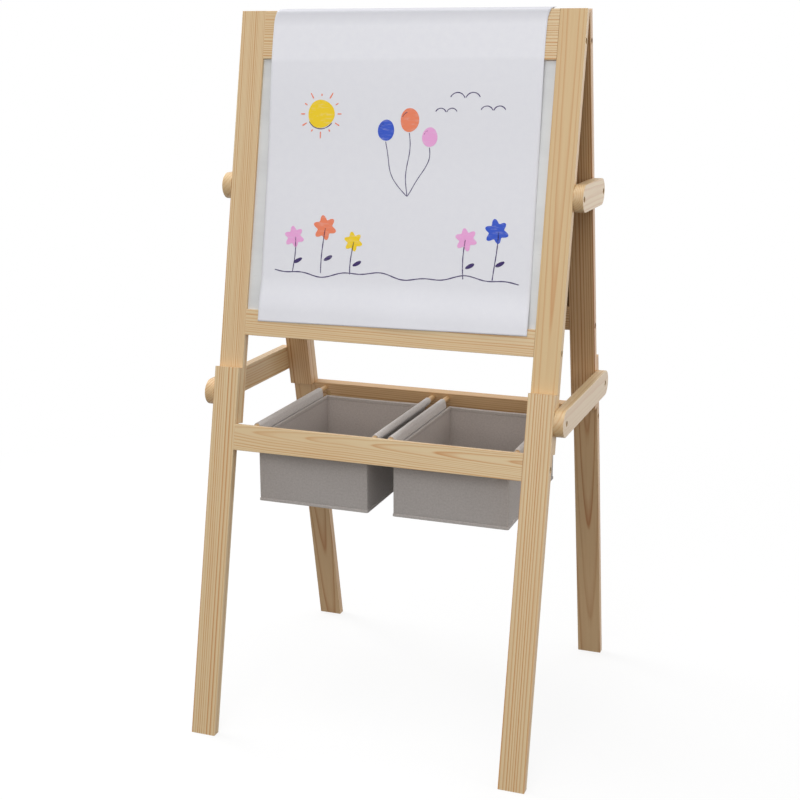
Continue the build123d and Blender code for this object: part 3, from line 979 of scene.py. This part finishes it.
def wound_roll(turns=121, rings=60):
    """A closed profile in (radius, x) carried round the X axis: out along one end, across, and in along the
    other. The radius shrinks with the angle, and a sine of radius / pitch minus angle shifts the ends."""
    angle = np.concatenate([np.linspace(0, 2 * np.pi * step_share, turns), [2 * np.pi]])[None, :]
    spiral = np.where(angle < 2 * np.pi, angle, 0) / (2 * np.pi)
    outward = np.linspace(0, 1, rings)[:, None]
    radius = core_radius + (roll_radius - paper_thickness * spiral - core_radius) * outward
    relief = end_relief * (1 + np.sin(2 * np.pi * (radius / turn_pitch) - angle)) / 2
    end = sheet_width / 2 - relief
    x = np.concatenate([end, -end[::-1], end[:1]])
    radius = np.concatenate([radius, radius[::-1], radius[:1]])
    points = np.stack([x, radius * np.sin(angle), roll_z + radius * np.cos(angle)], axis=-1)
    uv = np.stack(np.broadcast_arrays(angle * roll_radius, radius * end_stretch), axis=-1)
    return surface("wound_paper", [points], uv)


roll = wear(wound_roll(), paper_finish("wound_paper", no_edge, no_edge), "paper_roll")
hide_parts("paper_roll")

# %% [markdown]
# ## Fabric for the bins
#
# The bins are sewn from a stiff grey cloth. The lining is tinted lighter and warmer, painted light for the
# inside of a bin, and the sleeves are tinted paler, a painted highlight for the light on their tops. From
# the camera the cloth looks plain with a soft fleck, and close up it is a plain weave of fine threads. Two
# sine waves across each other give over and under, and noise makes the threads uneven. The pattern follows
# the piece's own UV map, which is laid out in metres, so threads have the same size all over, and the
# distance along the map also tells the lining from the outside.

# %% Woven cloth
thread = 0.0009
slub_long, slub_short = 90, 1100
cloth_cloud, cloth_fleck = (26, 26, 26), (360, 360, 360)
# Painted light: the lining's tints are lighter than the outside's, standing in for light inside the bins.
lining_lit_tints = tint("B3A9A3"), tint("C1B8B2")
soft_sheen = {"Sheen Weight": 0.18, "Sheen Roughness": 0.5}


def woven(name, first, second, lining_from=None):
    """Plain weave: height is the product of two sines, one per thread direction, and noise varies the
    threads. Past lining_from along the cloth, the lighter lining tints take over, painted light for the
    inside."""
    material, start = new_material(name)
    cloth = coordinates(start, "UV")
    warp, weft = ((axis(cloth, letter) * (2 * math.pi / thread)).math("SINE") for letter in "XY")
    warp_slub = noise(cloth, (slub_long, slub_short, slub_long), 2.0, 0.6)
    weft_slub = noise(cloth, (slub_short, slub_long, slub_long), 2.0, 0.6)
    slub = warp_slub + weft_slub - 1.0
    cloud = noise(cloth, cloth_cloud, 4.0, 0.6)
    fleck = noise(cloth, cloth_fleck, 2.0, 0.7)
    weave = warp * weft
    tone = 0.5 + 0.16 * weave + 0.5 * slub + 0.4 * (cloud - 0.5) + 2.6 * (fleck - 0.5)
    tone = tone.math("MAXIMUM", 0.0)
    colour = mixed(tone, tint(first), tint(second))
    if lining_from is not None:
        # Painted light: the inside of the shell takes the lighter lining tints.
        inside = ramp((axis(cloth, "Y") - lining_from) / thread, (0.0, 0.0), (1.0, 1.0))
        colour = mixed(inside, colour, mixed(tone, *lining_lit_tints))
    finish_material(start, colour, 0.86 + 0.06 * weave, 0.5 * weave + 0.3 * slub, 0.0002, 0.4, soft_sheen)
    return material


# Painted highlight: the sleeves get a paler copy of the bin cloth, standing in for the light on their tops.
sleeve_lit_cloth = woven("sleeve_lit_cloth", "C4BDB9", "D4CECA")
bin_thread = woven("bin_thread", "9E9793", "B9B3AF")
print("cloth woven with threads every", thread * 1000, "mm")

# %% [markdown]
# ## The shell of a bin
#
# A bin is a soft box: walls that pull in slightly between stiff corners, a sloping welt along the rim with a
# sewn hem under it, a strip round the base, and a floor that sags a little. Five plates would look like a
# carton, so the shell is one closed surface. Its outline is a rectangle with small round corners, and a
# profile tells for each row how high it lies, how far it is set in from the outline, and, on the floor, how
# far it has shrunk to the middle.

# %% Sizes of a bin
wall, wall_bow = 0.002, 0.0011
corner_radius, corner_ridge = 0.003, 0.0004
flap_reach = 0.0075
rim_below_rod = 0.0085


def rod_axis(hand, where):
    """Place of a rod across the easel, and its height."""
    low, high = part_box(f"{hand}_bin_{where}_rod")
    return (low.x + high.x) / 2, (low.z + high.z) / 2


def bin_sizes(hand):
    """Middle, half sizes, floor and rim of a bin, from its CAD node and its two rods."""
    low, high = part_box(f"{hand}_bin")
    outer, inner = rod_axis(hand, "outer"), rod_axis(hand, "inner")
    middle = np.array([(outer[0] + inner[0]) / 2, (low.y + high.y) / 2])
    half = (abs(outer[0] - inner[0]) / 2 - flap_reach, (high.y - low.y) / 2)
    return middle, half, low.z, outer[1] - rim_below_rod


print("left bin", [round(v * 1000, 1) for v in bin_sizes("left")[1]], "mm half width and half depth")

# %% Outline of a bin
def round_outline(half_x, half_y, radius, arc=9, side=26):
    """A rectangle with round corners: for each corner an arc and then the side to the next corner. Returns
    places, outward normals, and how near each point is to the middle of its side and of its corner."""
    signs = np.array([(1, 1), (-1, 1), (-1, -1), (1, -1)])
    turn = np.linspace(0, 0.5, arc)
    arcs = []
    for quarter, sign in enumerate(signs):
        angle = np.pi * (quarter / 2 + turn)
        normal = np.stack([np.cos(angle), np.sin(angle)], axis=-1)
        arcs.append((sign * (half_x - radius, half_y - radius) + radius * normal, normal))
    share = np.linspace(0, 1, side + 2)[1:-1, None]
    rows = []
    for (here, normal), (after, after_normal) in zip(arcs, arcs[1:] + arcs[:1]):
        rows.append(np.column_stack([here, normal, np.zeros(arc), np.sin(2 * np.pi * turn) ** 2]))
        places = here[-1] + (after[0] - here[-1]) * share
        normals = np.repeat(after_normal[:1], side, axis=0)
        rows.append(np.column_stack([places, normals, 4 * share * (1 - share), np.zeros(side)]))
    rows = np.concatenate(rows + [rows[0][:1]])
    return rows[:, :2], rows[:, 2:4], rows[:, 4], rows[:, 5]


print("bin outline has", len(round_outline(0.1, 0.1, corner_radius)[0]), "points")

# %% Profile of a bin
welt_insets = np.array([-0.4, -0.5, -0.2, 0.4, 1.0, 1.7, 2.3, 2.7, 2.6, 2.2]) / 1000
welt_falls = np.array([2.4, 1.4, 0.5, 0.1, 0.0, 0.4, 1.1, 2.0, 2.8, 3.1]) / 1000
welt_depth, hem_depth, hem_proud, hem_fold = 0.0034, 0.0058, 0.0003, 0.0003
strip_height, strip_proud, strip_lift = 0.0036, 0.0010, 0.0006
strip_edge, strip_groove = 0.0005, 0.0003
wall_above_strip, wall_below_hem, wall_above_floor = 0.0016, 0.0012, 0.001
floor_sag, rim_sag, inner_sag_share = 0.0012, 0.0008, 0.8


def bin_profile(floor, rim):
    """Rows from the middle of the underside, up outside, over the welt and down inside to the floor:
    shrink towards the middle, inset from the outline, and height. The floor sags by 1 - shrink squared."""
    steps = np.linspace(0, 1, 22)
    shrinks = np.linspace(0, 1, 9)
    strip_top, hem_low, inside = floor + strip_height, rim - hem_depth, floor + wall
    wall_low, wall_high = strip_top + wall_above_strip, hem_low - wall_below_hem
    wall_foot = inside + wall_above_floor
    bottom = [(k, -strip_proud * (k == 1), floor - floor_sag * (1 - k * k)) for k in shrinks]
    strip = [(1, -strip_proud, floor + strip_lift), (1, -strip_proud, strip_top - strip_edge),
             (1, -0.3 * strip_proud, strip_top), (1, strip_groove, strip_top + strip_edge)]
    outer = [(1, 0, wall_low + (wall_high - wall_low) * h) for h in steps]
    hem = [(0, hem_low - hem_fold), (-hem_proud, hem_low), (-hem_proud, rim - welt_depth)]
    hem_outside = [(1, inset, height) for inset, height in hem]
    welt = [(1, inset, rim - fall) for inset, fall in zip(welt_insets, welt_falls)]
    hem_inside = [(1, wall - inset, height) for inset, height in hem[::-1]]
    inner = [(1, wall, wall_high + (wall_foot - wall_high) * h) for h in steps]
    base = [(k, wall, inside - inner_sag_share * floor_sag * (1 - k * k)) for k in shrinks[::-1]]
    return np.array(bottom + strip + outer + hem_outside + welt + hem_inside + inner + base)


print("bin profile has", len(bin_profile(0.0, 0.1)), "rows")

# %% Bin shells
bow_change, bow_waves = 0.5, (9, 3)
least_shrink = 0.05


def sagging_sides(normals):
    """1 on the front and back walls, whose rims hang free between the rods, and otherwise 0."""
    return np.abs(normals[:, 1]) > 0.9


def bin_shell(hand):
    """Outline moved in by each row's inset and shrunk by each row's share, with the walls bowed in between
    corners, the corners drawn out to a seam, and the rim sagging between the rods."""
    middle, half, floor, rim = bin_sizes(hand)
    places, normals, centred, cornered = round_outline(*half, corner_radius)
    shrink, inset, height = (column[:, None] for column in bin_profile(floor, rim).T)
    upright = np.clip((height - floor) / (rim - floor), 0, 1)
    change = 1 + bow_change * np.sin(bow_waves[0] * upright + bow_waves[1] * centred)
    bow = wall_bow * np.sin(np.pi * upright) * centred * change
    moved = inset + bow - corner_ridge * cornered
    flat = shrink[..., None] * (places[None] - moved[..., None] * normals[None])
    sag = rim_sag * centred * np.clip(2 * upright - 1, 0, 1) * sagging_sides(normals)
    points = np.concatenate([middle + flat, (height - sag)[..., None]], axis=-1)
    u = lengths_along(places)
    v = lengths_along(np.column_stack([height, shrink * half[0]]))
    uv = np.stack(np.broadcast_arrays(u[None, :] * np.maximum(shrink, least_shrink), v[:, None]), axis=-1)
    piece = surface(f"{hand}_bin_shell", [points], uv, sharp=math.radians(55))
    cloth = woven(f"{hand}_bin_cloth", "AAA39F", "B8B2AE", v[np.argmax(height)])
    wear(piece, cloth, f"{hand}_bin")
    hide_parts(f"{hand}_bin")


for hand in ("left", "right"):
    bin_shell(hand)

# %% [markdown]
# ## Sleeves on the rods
#
# Along both long sides the cloth runs up from the wall, over the rod and back to a seam on the wall, so the
# rod lies in a sleeve. Its section is a drop: a circle round the rod with two straight flanks that meet the
# wall. The flanks touch the circle where they are tangent to it. The section is carried along the rod,
# outside and inside, and the ends stay open so that the bare rod comes out of a real tube. The sleeves are
# shorter than the bin, which leaves the rods bare at both ends.

# %% Section of a sleeve
# Radius of a rod, its room in the sleeve, and the thickness of the cloth.
rod_radius, rod_play, sleeve_wall = 0.004, 0.0003, 0.0010
inner_radius = rod_radius + rod_play
outer_radius = inner_radius + sleeve_wall
seam_depth = 0.006
# Places from the axis of the rod, away from the bin and up.
crease = np.array([-flap_reach + 0.0009, -rim_below_rod + 0.0010])
notch = np.array([-flap_reach + 0.0019, -rim_below_rod - 0.0006])
seam = np.array([-flap_reach + 0.0003, -rim_below_rod - seam_depth])
crease_inside = crease + (0.0010, 0.0011)
notch_inside = notch + (0.0009, 0.0003)
seam_inside = seam + (0.0016, 0.0040)


def tangent_angle(radius, point, sign):
    """Where a line from the point touches the circle: the point's own angle, turned by the angle whose
    cosine is radius / distance."""
    return math.atan2(point[1], point[0]) + sign * math.acos(radius / math.hypot(*point))


def drop_section(radius, crease, notch, seam, count=20):
    """A closed section about a rod at the origin: the arc between the two tangents, and both flanks. Under
    the crease the cloth turns back into a notch before it meets the wall."""
    first, last = tangent_angle(radius, crease, -1), tangent_angle(radius, seam, 1)
    angle = np.linspace(first + 2 * math.pi, last, 2 * count)
    arc = radius * np.stack([np.cos(angle), np.sin(angle)], axis=-1)
    flanks = [straight_run(arc[-1], seam, count)[1:], straight_run(seam, notch, 6)[1:],
              straight_run(notch, crease, 3)[1:], straight_run(crease, arc[0], count)[1:]]
    return np.concatenate([arc, *flanks])


outer_section = drop_section(outer_radius, crease, notch, seam)
inner_section = drop_section(inner_radius, crease_inside, notch_inside, seam_inside)
print("sleeve section is", round(lengths_along(outer_section)[-1] * 1000, 1), "mm round")

# %% Sleeves
sleeve_inset = 0.012
swell_share, swell_lengths = 0.012, (0.021, 0.047)


def sleeve_side(hand, where):
    """1 for a sleeve on the right of its bin, and -1 for one on the left."""
    return 1 if rod_axis(hand, where)[0] > bin_sizes(hand)[0][0] else -1


def sleeve(hand, where):
    """The section outside and inside, carried along Y, swelling a little by a product of two sines, and
    joined at both ends into one closed skin."""
    middle, half = bin_sizes(hand)[:2]
    rod_x, rod_z = rod_axis(hand, where)
    side = sleeve_side(hand, where)
    y = middle[1] + np.linspace(-1, 1, 60) * (half[1] - sleeve_inset)
    swell = 1 + swell_share * np.sin(y / swell_lengths[0] + side) * np.sin(y / swell_lengths[1])
    skin = outer_section[None] * swell[:, None, None]
    rows = np.concatenate([skin, np.repeat(inner_section[None], len(y), axis=0), skin[:1]])
    depth = np.concatenate([y, y[::-1], y[:1]])
    x = rod_x + side * rows[..., 0]
    points = np.stack([x, np.broadcast_to(depth[:, None], x.shape), rod_z + rows[..., 1]], axis=-1)
    around = lengths_along(outer_section)
    uv = np.stack(np.broadcast_arrays(around[None, :], depth[:, None]), axis=-1)
    piece = surface(f"{hand}_bin_{where}_sleeve", [points], uv, sharp=math.radians(50))
    wear(piece, sleeve_lit_cloth, f"{hand}_bin")


for hand in ("left", "right"):
    sleeve(hand, "outer")
    sleeve(hand, "inner")

# %% [markdown]
# ## Stitches
#
# Close up, a seam is read from its stitches. A bump could fake them, but real ones stand on the cloth and
# catch light. Each is a tiny capsule of a few faces. All of them are worked out at once: the array of places
# and directions along the seam is combined with one small capsule grid.

# %% Stitch rows
stitch_length, stitch_gap, stitch_radius = 0.0032, 0.0018, 0.00028
hem_row = 0.0014
flank_row = 0.0018


def stitches(line, normals):
    """Capsules at even steps along a line of points: along the heading by the sine of the first angle, and
    round it by the root of its cosine, at the second angle."""
    run = lengths_along(line)
    spots = np.arange(stitch_length, run[-1] - stitch_length, stitch_length + stitch_gap)[:, None]
    place, ahead, outward = (
        np.concatenate([np.interp(where, run, values[:, i]) for i in range(3)], axis=1)
        for where, values in ((spots, line), (spots + stitch_radius, line), (spots, normals))
    )
    heading = (ahead - place) / np.linalg.norm(ahead - place, axis=1, keepdims=True)
    outward = outward / np.linalg.norm(outward, axis=1, keepdims=True)
    bend, around = np.meshgrid(
        np.linspace(-np.pi / 2, np.pi / 2, 6), np.linspace(0, 2 * np.pi, 7), indexing="ij"
    )
    ring = stitch_radius * np.cos(bend) ** 0.5
    parts = ((stitch_length / 2 * np.sin(bend), heading), (ring * np.cos(around), outward),
             (ring * np.sin(around), np.cross(heading, outward)))
    return place[:, None, None] + sum(size[None, ..., None] * way[:, None, None] for size, way in parts)


def hem_stitches(hand):
    """One row round the inside of the hem."""
    middle, half = bin_sizes(hand)[:2]
    rim = bin_sizes(hand)[3]
    places, normals, centred = round_outline(*half, corner_radius)[:3]
    inside = middle + places - (wall + hem_proud) * normals
    height = rim - hem_depth + hem_row - rim_sag * centred * sagging_sides(normals)
    return stitches(np.column_stack([inside, height]), np.column_stack([-normals, 0 * height]))


def sleeve_stitches(hand, where):
    """One row along a sleeve, just above its crease."""
    middle, half = bin_sizes(hand)[:2]
    rod_x, rod_z = rod_axis(hand, where)
    side = sleeve_side(hand, where)
    touch_angle = tangent_angle(outer_radius, crease, -1)
    outward = np.array([math.cos(touch_angle), math.sin(touch_angle)])
    up_flank = outer_radius * outward - crease
    spot = crease + flank_row * up_flank / np.linalg.norm(up_flank)
    y = middle[1] + np.linspace(-1, 1, 120) * (half[1] - sleeve_inset - stitch_gap)
    line = np.column_stack([np.full_like(y, rod_x + side * spot[0]), y, np.full_like(y, rod_z + spot[1])])
    return stitches(line, np.tile([side * outward[0], 0, outward[1]], (len(y), 1)))


for hand in ("left", "right"):
    rows = [hem_stitches(hand), sleeve_stitches(hand, "outer"), sleeve_stitches(hand, "inner")]
    wear(surface(f"{hand}_bin_stitches", np.concatenate(rows)), bin_thread, f"{hand}_bin")
